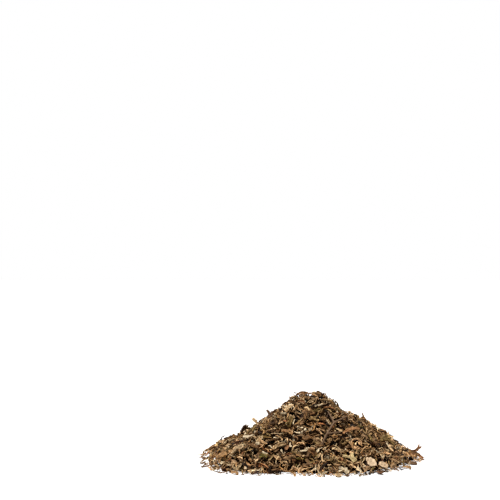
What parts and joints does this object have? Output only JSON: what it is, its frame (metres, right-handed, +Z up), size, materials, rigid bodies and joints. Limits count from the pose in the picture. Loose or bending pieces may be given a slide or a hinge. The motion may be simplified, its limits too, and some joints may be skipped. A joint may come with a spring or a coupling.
{
  "type": "heap of cut dried iceland moss",
  "caption": "Loose heap of dried and cut Iceland moss, a leathery brown lichen: forked, curled and flat pieces felted into a low mound on a flat base.",
  "frame": {"origin": "middle of the ground that the heap covers, strays included, at the level of the ground", "axes": "+X along the heap's longest side to its right, +Z up, -Y is its front"},
  "size_m": [0.1394, 0.139, 0.0404],
  "materials": {
    "packed_moss": "dry, matt",
    "brown_thallus": "dry, matt",
    "olive_thallus": "dry, matt",
    "tan_thallus": "dry, matt",
    "pale_underside": "dry, matt",
    "green_thallus": "dry, matt",
    "dark_stem": "dry, matt"
  },
  "bodies": {
    "root": {"back_foot_frond": "olive_thallus", "back_left_strip": "tan_thallus", "back_right_flake": "brown_thallus", "curled_stem_loop": "tan_thallus", "dark_curl": "dark_stem", "dark_forked_stem": "dark_stem", "dark_pointed_flake": "dark_stem", "flake_piece_04": "pale_underside", "flake_piece_10": "brown_thallus", "flake_piece_16": "brown_thallus", "flake_piece_22": "tan_thallus", "flake_piece_28": "olive_thallus", "forked_piece_05": "brown_thallus", "forked_piece_11": "brown_thallus", "forked_piece_17": "tan_thallus", "forked_piece_23": "olive_thallus", "front_block": "packed_moss", "front_left_strip": "tan_thallus", "front_stray": "pale_underside", "green_bit": "green_thallus", "green_frond": "green_thallus", "left_channelled_strap": "pale_underside", "left_foot_strip": "dark_stem", "left_tan_flake": "tan_thallus", "lower_pale_strip": "pale_underside", "middle_pale_strip": "tan_thallus", "orange_strand": "tan_thallus", "packed_moss": "packed_moss", "pale_broad_flake": "pale_underside", "pale_green_frond": "pale_underside", "pale_spike": "pale_underside", "right_foot_chip": "dark_stem", "right_foot_frond": "brown_thallus", "right_foot_strip": "tan_thallus", "right_slope_frond": "olive_thallus", "rolled_piece_02": "tan_thallus", "rolled_piece_08": "olive_thallus", "rolled_piece_14": "pale_underside", "rolled_piece_20": "brown_thallus", "rolled_piece_26": "brown_thallus", "second_pale_flake": "pale_underside", "strap_piece_03": "olive_thallus", "strap_piece_06": "brown_thallus", "strap_piece_09": "pale_underside", "strap_piece_12": "tan_thallus", "strap_piece_15": "brown_thallus", "strap_piece_18": "olive_thallus", "strap_piece_21": "brown_thallus", "strap_piece_24": "pale_underside", "strap_piece_27": "tan_thallus", "summit_curl_left": "brown_thallus", "summit_curl_right": "brown_thallus", "toothed_piece_01": "brown_thallus", "toothed_piece_07": "tan_thallus", "toothed_piece_13": "olive_thallus", "toothed_piece_19": "pale_underside", "toothed_piece_25": "brown_thallus", "top_pale_strip": "pale_underside", "whitish_flake": "pale_underside"}
  },
  "joints": []
}
